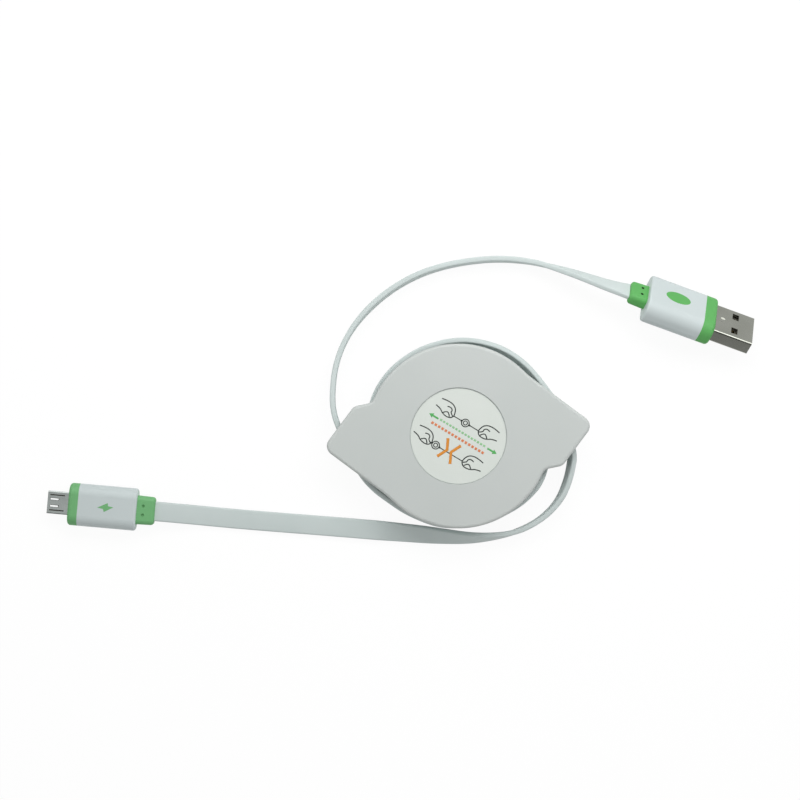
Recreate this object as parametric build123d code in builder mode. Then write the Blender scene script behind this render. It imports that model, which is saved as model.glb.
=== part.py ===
"""Retractable flat charging cable: a reel case with a sprung spool and a plug on each cable end."""

import os
from math import cos, radians, sin, sqrt, tan

from build123d import *

# Sizes are in millimetres and degrees. The reel axis is Z and the case stands on Z = 0.

# Case covers
disc_radius = 27.5  # round middle of both covers
plate_thickness = 2.0
plate_edge_round = 0.9
lobe_turn = -40.0  # way that the right-hand mouth faces
lobe_inset = 0.55  # long edge of a lobe, inside the tangent of the disc
lobe_overhang = 2.7  # mouth edge, outside the tangent of the disc
mouth_width = 15.5
neck_angle = 48.0
tip_round = 3.0
mouth_round = 3.0
neck_round = 2.5
shoulder_round = 40.0

# Label and screw
label_radius = 14.2
label_thickness = 0.2
label_gap = 0.25
label_recess = 0.6
screw_core_radius = 1.05
screw_clearance = 0.25
screw_head_radius = 2.1
screw_head_height = 1.2
screw_head_gap = 0.1
screw_length = 7.0
screw_slot_width = 0.6
screw_slot_depth = 0.6

# Cable
cable_width = 5.9
cable_thickness = 1.6
channel_clearance = 0.15

# Spool, running between the covers
axial_gap = 0.3
flange_inset = 2.7  # flange edge, inside the disc
flange_thickness = 0.9
flange_lip = 0.2
lid_thickness = 1.5
spigot_depth = 0.8
spigot_wall = 1.2
hub_wall = 1.2
post_radius = 3.0
boss_radius = 4.5
boss_height = 1.2
running_clearance = 0.05
strand_gap = 0.2
winding_half_turns = 5

# Guide posts at each mouth
gate_mouth_inset = 3.5  # middle of the gate, inside the mouth
gate_edge_inset = 6.5  # and from the long edge of the lobe
gate_turn = -31.0  # way through the gate, from the way that the mouth faces
gate_opening = 3.0
gate_post_radius = 1.0
gate_socket_depth = 0.8

# Spiral spring
spring_strip = 0.2
spring_height = 4.8
spring_lift = 0.25
spring_turns = 6
spring_margin = 0.5
spring_tail = 1.2
spring_slot = 0.5

# Ball stop
ball_radius = 1.0
ball_angle = 90.0
ball_play = 0.05
lane_clearance = 0.2
lane_divider = 0.8
lane_inset = 3.4  # middle of the outer lane, inside the flange edge
lane_gates = 4
lane_gate_angle = 20.0
lock_pocket_shift = 0.8

# Both plugs
relief_length = 5.4
sleeve_length = 17.6
sleeve_wall = 1.1
sleeve_rear_wall = 1.2
sleeve_rear_round = 0.7
collar_front_round = 1.0
relief_taper = 0.3
relief_round = 1.4
relief_rear_round = 1.0
dimple_radius = 0.45
dimple_depth = 0.5
dimple_spacing = 2.7
dimple_setback = 1.9

# Wide plug
host_entry = (53.51, 40.05)
host_heading = -23.0
host_pitch = 5.5  # nose down
host_roll = 46.0
host_width = 16.4
host_thickness = 8.4
host_round = 3.6
host_collar_length = 3.85
host_relief_width = 7.8
host_relief_thickness = 4.2
host_shell_width = 12.0
host_shell_thickness = 4.5
host_shell_round = 0.5
host_shell_wall = 0.3
host_shell_reach = 12.3
host_shell_seat = 6.2
host_window_length = 2.0
host_window_width = 2.5
host_window_spacing = 6.2
host_window_setback = 5.9
host_dent_radius = 1.0
host_dent_depth = 0.22
host_dent_setback = 9.9
host_oval_length = 7.8
host_oval_width = 4.5
host_tongue_thickness = 1.9
host_tongue_setback = 0.7
host_contact_count = 4
host_contact_pitch = 2.3
host_contact_width = 1.1
host_contact_length = 7.0

# Small plug
device_entry = (-92.30, -17.54)
device_heading = 171.6
device_width = 12.75
device_thickness = 7.0
device_round = 3.2
device_collar_length = 3.0
device_relief_width = 8.7
device_relief_thickness = 4.4
device_shell_width = 6.85
device_shell_thickness = 1.8
device_shell_bevel = 0.75
device_shell_round = 0.25
device_shell_wall = 0.25
device_shell_reach = 6.45
device_shell_seat = 5.0
device_slot_spacing = 4.6
device_slot_width = 0.35
device_slot_length = 4.4
device_slot_setback = 2.9
device_latch_spacing = 2.1
device_latch_width = 0.75
device_latch_length = 2.7
device_latch_setback = 2.1
device_latch_rise = 0.35
device_latch_crest = 0.85  # flat top behind the ramp
device_latch_gap = 0.12
device_tongue_thickness = 0.5
device_tongue_setback = 0.6
device_contact_count = 5
device_contact_pitch = 0.65
device_contact_width = 0.35
device_contact_length = 3.2
contact_thickness = 0.15

# Levels that follow from the stack of covers, spool and cable
channel_height = cable_width + 2 * channel_clearance
drum_bottom = plate_thickness + axial_gap
channel_bottom = drum_bottom + flange_thickness
lid_bottom = channel_bottom + channel_height
lid_top = lid_bottom + lid_thickness
cover_bottom = lid_top + axial_gap
cover_top = cover_bottom + plate_thickness
recess_floor = cover_top - label_recess
post_top = cover_bottom - boss_height
screw_head_top = recess_floor - screw_head_gap
screw_seat = screw_head_top - screw_head_height
cable_level = channel_bottom + channel_height / 2
edge_level = cable_width / 2
flat_level = cable_thickness / 2

# Radii that follow from the disc and the winding
flange_radius = disc_radius - flange_inset
strand_pitch = cable_thickness + strand_gap
winding_radius = flange_radius - flange_lip - cable_thickness / 2
hub_radius = winding_radius - winding_half_turns * strand_pitch - cable_thickness / 2 - strand_gap
hub_bore = hub_radius - hub_wall

# Radii of the ball stop
outer_lane_radius = flange_radius - lane_inset
lane_width = 2 * (ball_radius + lane_clearance)
inner_lane_radius = outer_lane_radius - lane_width - lane_divider
ball_level = (lid_top + cover_bottom) / 2 - ball_play
track_floor = ball_level - ball_radius - ball_play
ball_roof = ball_level + ball_radius + ball_play

# Distances along the plugs from their cable entries
core_rear = relief_length + sleeve_rear_wall
sleeve_middle = relief_length + sleeve_length / 2
sleeve_front = relief_length + sleeve_length
host_collar_front = sleeve_front + host_collar_length
device_collar_front = sleeve_front + device_collar_length
dimple_distance = relief_length - dimple_setback

# The wide plug lies tipped on the edge of its sleeve, with the front of its collar on the table
host_tip = radians(host_roll)
host_dip = radians(host_pitch)
host_depth = (
    (host_width / 2 - host_round) * sin(host_tip)
    + (host_thickness / 2 - host_round) * cos(host_tip)
    + host_round
)
host_level = (
    (host_collar_front - collar_front_round) * sin(host_dip)
    + (host_depth - collar_front_round) * cos(host_dip)
    + collar_front_round
)
device_level = device_thickness / 2


def heading_vector(angle, dip=0.0):
    """Direction at an angle from X that dips below the level."""
    level_share = cos(radians(dip))
    return Vector(
        cos(radians(angle)) * level_share, sin(radians(angle)) * level_share, -sin(radians(dip))
    )


# Cable entries of the plugs and the ways that they point
host_start = Vector(*host_entry, host_level)
host_ahead = heading_vector(host_heading, host_pitch)
device_start = Vector(*device_entry, device_level)
device_ahead = heading_vector(device_heading)

# Routes of the two free cable ends, from inside the case to the plugs
bend_share = 0.45
section_spacing = 4.5
plug_approach = 6.0
device_route = [
    (-25.5, -3.4, cable_level),
    (-26.6, 3.3, cable_level),
    (-25.7, 10.1, cable_level),
    (-22.6, 16.7, cable_level),
    (-16.8, 22.6, cable_level),
    (-8.1, 27.1, cable_level),
    (1.7, 28.6, cable_level),
    (11.5, 26.7, cable_level),
    (20.1, 21.4, cable_level),
    (26.2, 13.3, cable_level),
    (29.9, 7.3, cable_level),
    (32.6, 0.8, cable_level),
    (34.6, -6.7, cable_level),
    (33.7, -11.4, 6.0),
    (32.0, -15.7, 5.3),
    (29.4, -20.2, 4.4),
    (25.7, -24.4, 3.6),
    (20.7, -27.7, 3.1),
    (15.0, -29.8, 3.0),
    (9.3, -30.6, 3.05),
    (2.0, -30.8, 3.15),
    (-7.0, -29.6, 2.85),
    (-16.0, -28.2, 2.05),
    (-25.1, -27.0, 1.0),
    (-38.0, -25.3, flat_level),
    (-55.0, -23.2, flat_level),
    (-70.0, -21.1, flat_level),
    (-80.0, -19.5, 1.1),
    device_start - device_ahead * plug_approach,
    device_start,
]
device_case_length = 95.5
device_twist_start = 134.5
device_twist_length = 38.0
host_route = [
    (25.5, 3.4, cable_level),
    (26.6, -3.2, cable_level),
    (25.7, -9.6, cable_level),
    (23.3, -15.3, cable_level),
    (19.9, -18.8, cable_level),
    (16.1, -21.6, cable_level),
    (11.0, -24.1, cable_level),
    (3.1, -26.3, cable_level),
    (-6.1, -25.8, cable_level),
    (-14.8, -22.5, cable_level),
    (-21.0, -18.4, cable_level),
    (-26.6, -13.4, cable_level),
    (-30.2, -7.3, cable_level),
    (-33.3, -0.8, cable_level),
    (-35.8, 5.3, cable_level),
    (-36.8, 10.3, 5.9),
    (-36.7, 15.8, 5.2),
    (-35.3, 23.2, 4.2),
    (-32.1, 30.4, 3.4),
    (-27.0, 37.2, 3.0),
    (-19.6, 43.5, edge_level),
    (-11.8, 48.1, edge_level),
    (-4.1, 50.8, edge_level),
    (4.7, 52.3, edge_level),
    (15.0, 52.6, edge_level),
    (24.5, 51.3, edge_level),
    (31.4, 49.3, 4.4),
    (39.6, 46.1, 7.7),
    host_start - host_ahead * plug_approach,
    host_start,
]
host_case_length = 92.5
host_twist_length = 28.0


def bend_radii(route):
    """The largest bend that the two runs at each corner of a cable route leave room for."""
    radii = []
    for before, corner, after in zip(route, route[1:], route[2:]):
        run_in = Vector(corner) - Vector(before)
        run_out = Vector(after) - Vector(corner)
        half_turn = radians(run_in.get_angle(run_out)) / 2
        radii.append(bend_share * min(run_in.length, run_out.length) / tan(half_turn))
    return radii


def lying_frame(point, along, roll):
    """A frame with X along a cable or plug and Z out of its flat face, tipped sideways by the roll."""
    ahead = Vector(along).normalized()
    left = Vector(0, 0, 1).cross(ahead).normalized()
    up = ahead.cross(left)
    tip = radians(roll)
    return Plane(origin=point, x_dir=ahead, z_dir=up * cos(tip) + left * sin(tip))


def across(frame, distance=0.0):
    """The cross-section plane of a lying frame: X over the width, Y through the thickness."""
    return Plane(
        origin=frame.from_local_coords(Vector(distance, 0, 0)),
        x_dir=frame.y_dir,
        z_dir=frame.x_dir,
    )


def over(frame, distance, height):
    """A plane parallel to the flat face of a lying frame, at a height above its axis."""
    return Plane(
        origin=frame.from_local_coords(Vector(distance, 0, height)),
        x_dir=frame.x_dir,
        z_dir=frame.z_dir,
    )


def stations(start, end):
    """Even distances along a cable, about one section spacing apart."""
    count = round((end - start) / section_spacing)
    return [start + (end - start) * index / count for index in range(count + 1)]


def twisted_roll(distance, start, length, end_roll):
    """Roll of a cable that stands on edge and then turns evenly to its end roll."""
    share = min(max((distance - start) / length, 0), 1)
    return 90 + (end_roll - 90) * share


def half_turns(outer_radius, pitch, count, start_side):
    """Centre, radius and start angle of the half circles of a spiral that crosses the X axis."""
    arcs = []
    for turn in range(count):
        side = start_side * (-1) ** turn
        near = outer_radius - turn * pitch
        far = near - pitch
        arcs.append(((side * (near - far) / 2, 0), (near + far) / 2, 90 - 90 * side))
    return arcs


# Outline of both covers: a disc with a lobe on opposite sides
lobe_edge = disc_radius - lobe_inset
lobe_reach = disc_radius + lobe_overhang
mouth_start = lobe_edge - mouth_width
neck_cos = cos(radians(neck_angle))
neck_sin = sin(radians(neck_angle))
neck_offset = abs(lobe_reach * neck_sin - mouth_start * neck_cos)
neck_run = lobe_reach * neck_cos + mouth_start * neck_sin - sqrt(disc_radius**2 - neck_offset**2)
lobe_shoulder = (sqrt(disc_radius**2 - lobe_edge**2), lobe_edge)
lobe_neck = (lobe_reach - neck_run * neck_cos, mouth_start - neck_run * neck_sin)

with BuildSketch() as cover_outline:
    Circle(disc_radius)
    with PolarLocations(0, 2, start_angle=lobe_turn):
        Polygon(
            (0, lobe_edge),
            (lobe_reach, lobe_edge),
            (lobe_reach, mouth_start),
            lobe_neck,
            (0, 0),
            align=None,
        )
    for corner, corner_round in (
        ((lobe_reach, lobe_edge), tip_round),
        ((lobe_reach, mouth_start), mouth_round),
        (lobe_neck, neck_round),
        (lobe_shoulder, shoulder_round),
    ):
        for side in (0, 180):
            spot = Vector(*corner).rotate(Axis.Z, lobe_turn + side)
            fillet(cover_outline.vertices().sort_by_distance(spot)[0], corner_round)

# Guide posts: a pair at the mouth of each lobe
gate_across = heading_vector(lobe_turn + gate_turn + 90)
gate_reach = gate_opening / 2 + gate_post_radius
gate_middle = Vector(lobe_reach - gate_mouth_inset, lobe_edge - gate_edge_inset).rotate(Axis.Z, lobe_turn)
gate_posts = [gate_middle + gate_across * gate_reach, gate_middle - gate_across * gate_reach]
gate_posts = gate_posts + [post * -1 for post in gate_posts]
gate_spots = [(post.X, post.Y) for post in gate_posts]

# Lower cover with the centre post that carries the spool
with BuildPart() as bottom_cover:
    with BuildSketch():
        add(cover_outline.sketch)
    extrude(amount=plate_thickness)
    fillet(bottom_cover.faces().sort_by(Axis.Z)[0].edges(), plate_edge_round)
    with BuildSketch(Plane.XY.offset(plate_thickness)):
        Circle(post_radius)
    extrude(amount=post_top - plate_thickness)
    with BuildSketch(Plane.XY.offset(plate_thickness)):
        with Locations(*gate_spots):
            Circle(gate_post_radius)
    extrude(amount=cover_bottom + gate_socket_depth - plate_thickness)
    with BuildSketch(Plane.XY.offset(channel_bottom)):
        with Locations((post_radius, 0)):
            Rectangle(2 * (spring_tail + spring_strip), spring_slot)
    extrude(amount=post_top - channel_bottom, mode=Mode.SUBTRACT)
    with Locations((0, 0, post_top)):
        Hole(screw_core_radius, depth=post_top - screw_seat + screw_length)

# Upper cover with the label recess, the screw boss and the slot of the stop ball
with BuildPart() as top_cover:
    with BuildSketch(Plane.XY.offset(cover_bottom)):
        add(cover_outline.sketch)
    extrude(amount=plate_thickness)
    fillet(top_cover.faces().sort_by(Axis.Z)[-1].edges(), plate_edge_round)
    with BuildSketch(Plane.XY.offset(cover_bottom)):
        Circle(boss_radius)
    extrude(amount=-boss_height)
    with BuildSketch(Plane.XY.offset(recess_floor)):
        Circle(label_radius + label_gap)
    extrude(amount=label_recess, mode=Mode.SUBTRACT)
    with BuildSketch(Plane.XY.offset(screw_seat)):
        Circle(screw_head_radius + screw_clearance)
    extrude(amount=recess_floor - screw_seat, mode=Mode.SUBTRACT)
    with BuildSketch(Plane.XY.offset(post_top)):
        Circle(screw_core_radius + screw_clearance)
    extrude(amount=screw_seat - post_top, mode=Mode.SUBTRACT)
    with BuildSketch(Plane.XY.offset(cover_bottom)):
        with Locations(*gate_spots):
            Circle(gate_post_radius + running_clearance)
    extrude(amount=gate_socket_depth + running_clearance, mode=Mode.SUBTRACT)
    with BuildSketch(Plane.XY.offset(cover_bottom)):
        with PolarLocations((outer_lane_radius + inner_lane_radius) / 2, 1, start_angle=ball_angle):
            SlotCenterToCenter(
                outer_lane_radius - inner_lane_radius,
                2 * (ball_radius + ball_play),
            )
    extrude(amount=ball_roof - cover_bottom, mode=Mode.SUBTRACT)

# Self-tapping screw that holds the covers together under the label
with BuildPart() as cover_screw:
    with BuildSketch(Plane.XY.offset(screw_seat)):
        Circle(screw_head_radius)
    extrude(amount=screw_head_height)
    fillet(cover_screw.edges().sort_by(Axis.Z)[-1], screw_head_height / 3)
    with BuildSketch(Plane.XY.offset(screw_seat)):
        Circle(screw_core_radius)
    extrude(amount=-screw_length)
    chamfer(cover_screw.edges().sort_by(Axis.Z)[0], screw_core_radius / 2)
    with BuildSketch(Plane.XY.offset(screw_head_top)):
        Rectangle(screw_head_radius * 1.2, screw_slot_width)
        Rectangle(screw_slot_width, screw_head_radius * 1.2)
    extrude(amount=-screw_slot_depth, mode=Mode.SUBTRACT)

# Round label in the recess
with BuildPart() as label_disc:
    with BuildSketch(Plane.XY.offset(recess_floor)):
        Circle(label_radius)
    extrude(amount=label_thickness)

# Spool drum: lower flange and the hub that houses the spring
with BuildPart() as spool_drum:
    with BuildSketch(Plane.XY.offset(drum_bottom)):
        Circle(flange_radius)
        Circle(post_radius + running_clearance, mode=Mode.SUBTRACT)
    extrude(amount=flange_thickness)
    with BuildSketch(Plane.XY.offset(channel_bottom)):
        Circle(hub_radius)
        Circle(hub_bore, mode=Mode.SUBTRACT)
    extrude(amount=channel_height)
    with BuildSketch(Plane.XY.offset(channel_bottom)):
        with Locations((hub_bore, 0)):
            Rectangle(2 * (spring_tail - spring_strip), spring_slot)
    extrude(amount=channel_height, mode=Mode.SUBTRACT)

# Spool lid: closes the hub and carries the two-lane track of the stop ball
with BuildPart() as spool_lid:
    with BuildSketch(Plane.XY.offset(lid_bottom)):
        Circle(flange_radius)
    extrude(amount=lid_thickness)
    with BuildSketch(Plane.XY.offset(lid_bottom)):
        Circle(hub_bore - running_clearance)
        Circle(hub_bore - running_clearance - spigot_wall, mode=Mode.SUBTRACT)
    extrude(amount=-spigot_depth)
    with BuildSketch(Plane.XY.offset(lid_bottom)):
        Circle(boss_radius + running_clearance)
    extrude(amount=lid_thickness, mode=Mode.SUBTRACT)
    with BuildSketch(Plane.XY.offset(track_floor)):
        Circle(outer_lane_radius + lane_width / 2)
        Circle(outer_lane_radius - lane_width / 2, mode=Mode.SUBTRACT)
        with BuildSketch(mode=Mode.PRIVATE) as inner_lane:
            Circle(inner_lane_radius + lane_width / 2)
            Circle(inner_lane_radius - lane_width / 2, mode=Mode.SUBTRACT)
        add(inner_lane.sketch)
        with PolarLocations(
            (outer_lane_radius + inner_lane_radius) / 2, lane_gates, start_angle=ball_angle
        ):
            Rectangle(
                outer_lane_radius - inner_lane_radius,
                2 * outer_lane_radius * sin(radians(lane_gate_angle / 2)),
            )
        with PolarLocations(
            inner_lane_radius - lock_pocket_shift,
            lane_gates,
            start_angle=ball_angle + 180 / lane_gates,
        ):
            Circle(ball_radius + lane_clearance)
    extrude(amount=lid_top - track_floor, mode=Mode.SUBTRACT)

# Cable on the spool: both halves wound together from a fold at the hub
with BuildPart() as cable_winding:
    with BuildSketch(Plane.XY.offset(cable_level - cable_width / 2)):
        with BuildLine():
            for centre, radius, start in half_turns(
                winding_radius, strand_pitch, winding_half_turns, -1
            ):
                CenterArc(centre, radius, start, 180)
            for centre, radius, start in half_turns(
                winding_radius, strand_pitch, winding_half_turns - 1, 1
            ):
                CenterArc(centre, radius, start, 180)
            fold_radius = winding_radius - (winding_half_turns - 0.5) * strand_pitch
            CenterArc((fold_radius, 0), strand_pitch / 2, 0, 180)
        trace(line_width=cable_thickness)
    extrude(amount=cable_width)

# Spiral spring between the centre post and the hub
spring_inner = post_radius + spring_margin
spring_outer = hub_bore - spring_margin
spring_pitch = (spring_outer - spring_inner) / (2 * spring_turns)
with BuildPart() as mainspring:
    with BuildSketch(Plane.XY.offset(channel_bottom + spring_lift)):
        with BuildLine():
            for centre, radius, start in half_turns(
                spring_outer, spring_pitch, 2 * spring_turns, 1
            ):
                CenterArc(centre, radius, start, 180)
            Line((post_radius - spring_tail, 0), (spring_inner, 0))
            Line((spring_outer, 0), (hub_bore + spring_tail / 2, 0))
        trace(line_width=spring_strip)
    extrude(amount=spring_height)

# Steel ball of the stop, in the outer lane of the track
with BuildPart() as stop_ball:
    with Locations(heading_vector(ball_angle) * outer_lane_radius + Vector(0, 0, ball_level)):
        Sphere(ball_radius)

# Free cable end of the wide plug: swept on edge in the case, then from section to section
with BuildPart() as host_lead:
    with BuildLine(mode=Mode.PRIVATE) as host_line:
        FilletPolyline(*host_route, radius=bend_radii(host_route))
    host_path = host_line.wire()
    case_path = host_path.trim(0, host_case_length / host_path.length)
    with BuildSketch(across(lying_frame(case_path @ 0, case_path % 0, 90))):
        Rectangle(cable_width, cable_thickness)
    sweep(path=case_path)
    host_twist_start = host_path.length - host_twist_length
    for distance in stations(host_case_length, host_path.length):
        share = distance / host_path.length
        roll = twisted_roll(distance, host_twist_start, host_twist_length, host_roll)
        with BuildSketch(across(lying_frame(host_path @ share, host_path % share, roll))):
            Rectangle(cable_width, cable_thickness)
    loft(ruled=True)

# Free cable end of the small plug: on edge, twisted flat, then flat to the plug
with BuildPart() as device_lead:
    with BuildLine(mode=Mode.PRIVATE) as device_line:
        FilletPolyline(*device_route, radius=bend_radii(device_route))
    device_path = device_line.wire()
    case_path = device_path.trim(0, device_case_length / device_path.length)
    with BuildSketch(across(lying_frame(case_path @ 0, case_path % 0, 90))):
        Rectangle(cable_width, cable_thickness)
    sweep(path=case_path)
    for distance in stations(device_case_length, device_path.length):
        share = distance / device_path.length
        roll = twisted_roll(distance, device_twist_start, device_twist_length, 0)
        with BuildSketch(across(lying_frame(device_path @ share, device_path % share, roll))):
            Rectangle(cable_width, cable_thickness)
    loft(ruled=True)

# Frames of the plugs, from the cable entry forwards
host_frame = lying_frame(host_start, host_ahead, host_roll)
device_frame = lying_frame(device_start, device_ahead, 0)

# Wide plug: white sleeve with the oval window
host_core_top = host_thickness / 2 - sleeve_wall
host_core_width = host_width - 2 * sleeve_wall
host_core_thickness = host_thickness - 2 * sleeve_wall
host_core_round = host_round - sleeve_wall
with BuildPart() as host_plug_sleeve:
    with BuildSketch(across(host_frame, relief_length)):
        RectangleRounded(host_width, host_thickness, host_round)
    extrude(amount=sleeve_length)
    rear_face = host_plug_sleeve.faces().sort_by_distance(host_frame.origin)[0]
    fillet(rear_face.edges(), sleeve_rear_round)
    with BuildSketch(across(host_frame, core_rear)):
        RectangleRounded(host_core_width, host_core_thickness, host_core_round)
    extrude(amount=sleeve_length - sleeve_rear_wall, mode=Mode.SUBTRACT)
    with BuildSketch(across(host_frame, relief_length)):
        RectangleRounded(host_relief_width, host_relief_thickness, relief_round)
    extrude(amount=sleeve_rear_wall, mode=Mode.SUBTRACT)
    with BuildSketch(over(host_frame, sleeve_middle, host_core_top)):
        Ellipse(host_oval_length / 2, host_oval_width / 2)
    extrude(amount=sleeve_wall, mode=Mode.SUBTRACT)

# Wide plug: green moulding with strain relief, core, oval pad and front collar
with BuildPart() as host_plug_overmould:
    with BuildSketch(across(host_frame)):
        RectangleRounded(
            host_relief_width - relief_taper, host_relief_thickness - relief_taper, relief_round
        )
    with BuildSketch(across(host_frame, relief_length)):
        RectangleRounded(host_relief_width, host_relief_thickness, relief_round)
    loft()
    relief_rear = host_plug_overmould.faces().sort_by_distance(host_frame.origin)[0]
    fillet(relief_rear.edges(), relief_rear_round)
    with BuildSketch(across(host_frame, relief_length)):
        RectangleRounded(host_relief_width, host_relief_thickness, relief_round)
    extrude(amount=sleeve_rear_wall)
    with BuildSketch(across(host_frame, core_rear)):
        RectangleRounded(host_core_width, host_core_thickness, host_core_round)
    extrude(amount=sleeve_front - core_rear)
    with BuildSketch(across(host_frame, sleeve_front)):
        RectangleRounded(host_width, host_thickness, host_round)
    extrude(amount=host_collar_length)
    front_face = host_plug_overmould.faces().sort_by_distance(across(host_frame, host_collar_front).origin)[0]
    fillet(front_face.edges(), collar_front_round)
    with BuildSketch(over(host_frame, sleeve_middle, host_core_top)):
        Ellipse(host_oval_length / 2, host_oval_width / 2)
    extrude(amount=sleeve_wall)
    with BuildSketch(across(host_frame, host_collar_front - host_shell_seat)):
        RectangleRounded(host_shell_width, host_shell_thickness, host_shell_round)
    extrude(amount=host_shell_seat, mode=Mode.SUBTRACT)
    with BuildSketch(over(host_frame, dimple_distance, host_relief_thickness / 2)):
        with GridLocations(0, dimple_spacing, 1, 2):
            Circle(dimple_radius)
    extrude(amount=-dimple_depth, mode=Mode.SUBTRACT)

# Wide plug: folded steel shell with a pair of windows in both faces and a stamped dent
host_bore_width = host_shell_width - 2 * host_shell_wall
host_bore_thickness = host_shell_thickness - 2 * host_shell_wall
host_tip_distance = host_collar_front + host_shell_reach
host_dent_ball = (host_dent_radius**2 + host_dent_depth**2) / (2 * host_dent_depth)
host_dent_level = host_shell_thickness / 2 - host_dent_depth + host_dent_ball
with BuildPart() as host_plug_shell:
    with BuildSketch(across(host_frame, host_collar_front - host_shell_seat)):
        RectangleRounded(host_shell_width, host_shell_thickness, host_shell_round)
        RectangleRounded(
            host_bore_width,
            host_bore_thickness,
            host_shell_round - host_shell_wall,
            mode=Mode.SUBTRACT,
        )
    extrude(amount=host_shell_seat + host_shell_reach)
    with BuildSketch(over(host_frame, host_tip_distance - host_window_setback, 0)):
        with GridLocations(0, host_window_spacing, 1, 2):
            Rectangle(host_window_length, host_window_width)
    extrude(amount=host_shell_thickness, both=True, mode=Mode.SUBTRACT)
    with Locations(over(host_frame, host_tip_distance - host_dent_setback, host_dent_level)):
        Sphere(host_dent_ball, mode=Mode.SUBTRACT)

# Wide plug: insulating tongue with a rear block, and its row of contacts
host_tongue_top = host_tongue_thickness - host_bore_thickness / 2
with BuildPart() as host_plug_tongue:
    with BuildSketch(across(host_frame, host_collar_front - host_shell_seat)):
        RectangleRounded(host_bore_width, host_bore_thickness, host_shell_round - host_shell_wall)
    extrude(amount=host_shell_seat)
    with BuildSketch(across(host_frame, host_collar_front)):
        with Locations((0, host_tongue_top - host_tongue_thickness / 2)):
            RectangleRounded(host_bore_width, host_tongue_thickness, host_shell_round - host_shell_wall)
    extrude(amount=host_shell_reach - host_tongue_setback)

with BuildPart() as host_plug_contacts:
    with BuildSketch(over(host_frame, host_collar_front + host_contact_length / 2, host_tongue_top)):
        with GridLocations(0, host_contact_pitch, 1, host_contact_count):
            Rectangle(host_contact_length, host_contact_width)
    extrude(amount=contact_thickness)

# Small plug: white sleeve
device_core_width = device_width - 2 * sleeve_wall
device_core_thickness = device_thickness - 2 * sleeve_wall
device_core_round = device_round - sleeve_wall
with BuildPart() as device_plug_sleeve:
    with BuildSketch(across(device_frame, relief_length)):
        RectangleRounded(device_width, device_thickness, device_round)
    extrude(amount=sleeve_length)
    rear_face = device_plug_sleeve.faces().sort_by_distance(device_frame.origin)[0]
    fillet(rear_face.edges(), sleeve_rear_round)
    with BuildSketch(across(device_frame, core_rear)):
        RectangleRounded(device_core_width, device_core_thickness, device_core_round)
    extrude(amount=sleeve_length - sleeve_rear_wall, mode=Mode.SUBTRACT)
    with BuildSketch(across(device_frame, relief_length)):
        RectangleRounded(device_relief_width, device_relief_thickness, relief_round)
    extrude(amount=sleeve_rear_wall, mode=Mode.SUBTRACT)

# Outline of the small shell: flat on top, bevelled at its lower corners
half_width = device_shell_width / 2
half_height = device_shell_thickness / 2
with BuildSketch() as device_shell_outline:
    Polygon(
        (-half_width, half_height),
        (-half_width, -half_height + device_shell_bevel),
        (-half_width + device_shell_bevel, -half_height),
        (half_width - device_shell_bevel, -half_height),
        (half_width, -half_height + device_shell_bevel),
        (half_width, half_height),
        align=None,
    )
    fillet(device_shell_outline.vertices(), device_shell_round)
with BuildSketch() as device_bore_outline:
    add(device_shell_outline.sketch)
    offset(amount=-device_shell_wall, kind=Kind.INTERSECTION, mode=Mode.REPLACE)

# Small plug: green moulding with strain relief, core and front collar
with BuildPart() as device_plug_overmould:
    with BuildSketch(across(device_frame)):
        RectangleRounded(
            device_relief_width - relief_taper,
            device_relief_thickness - relief_taper,
            relief_round,
        )
    with BuildSketch(across(device_frame, relief_length)):
        RectangleRounded(device_relief_width, device_relief_thickness, relief_round)
    loft()
    relief_rear = device_plug_overmould.faces().sort_by_distance(device_frame.origin)[0]
    fillet(relief_rear.edges(), relief_rear_round)
    with BuildSketch(across(device_frame, relief_length)):
        RectangleRounded(device_relief_width, device_relief_thickness, relief_round)
    extrude(amount=sleeve_rear_wall)
    with BuildSketch(across(device_frame, core_rear)):
        RectangleRounded(device_core_width, device_core_thickness, device_core_round)
    extrude(amount=sleeve_front - core_rear)
    with BuildSketch(across(device_frame, sleeve_front)):
        RectangleRounded(device_width, device_thickness, device_round)
    extrude(amount=device_collar_length)
    front_face = device_plug_overmould.faces().sort_by_distance(
        across(device_frame, device_collar_front).origin
    )[0]
    fillet(front_face.edges(), collar_front_round)
    with BuildSketch(across(device_frame, device_collar_front - device_shell_seat)):
        add(device_shell_outline.sketch)
    extrude(amount=device_shell_seat, mode=Mode.SUBTRACT)
    with BuildSketch(over(device_frame, dimple_distance, device_relief_thickness / 2)):
        with GridLocations(0, dimple_spacing, 1, 2):
            Circle(dimple_radius)
    extrude(amount=-dimple_depth, mode=Mode.SUBTRACT)

# Small plug: folded steel shell with a window for each latch hook and a slot beside it
device_tip_distance = device_collar_front + device_shell_reach
device_latch_distance = device_tip_distance - device_latch_setback
with BuildPart() as device_plug_shell:
    with BuildSketch(across(device_frame, device_collar_front - device_shell_seat)):
        add(device_shell_outline.sketch)
        add(device_bore_outline.sketch, mode=Mode.SUBTRACT)
    extrude(amount=device_shell_seat + device_shell_reach)
    with BuildSketch(over(device_frame, device_latch_distance, 0)):
        with GridLocations(0, device_latch_spacing, 1, 2):
            Rectangle(device_latch_length, device_latch_width)
    with BuildSketch(over(device_frame, device_tip_distance - device_slot_setback, 0)):
        with GridLocations(0, device_slot_spacing, 1, 2):
            Rectangle(device_slot_length, device_slot_width)
    extrude(amount=device_shell_thickness, mode=Mode.SUBTRACT)

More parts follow.
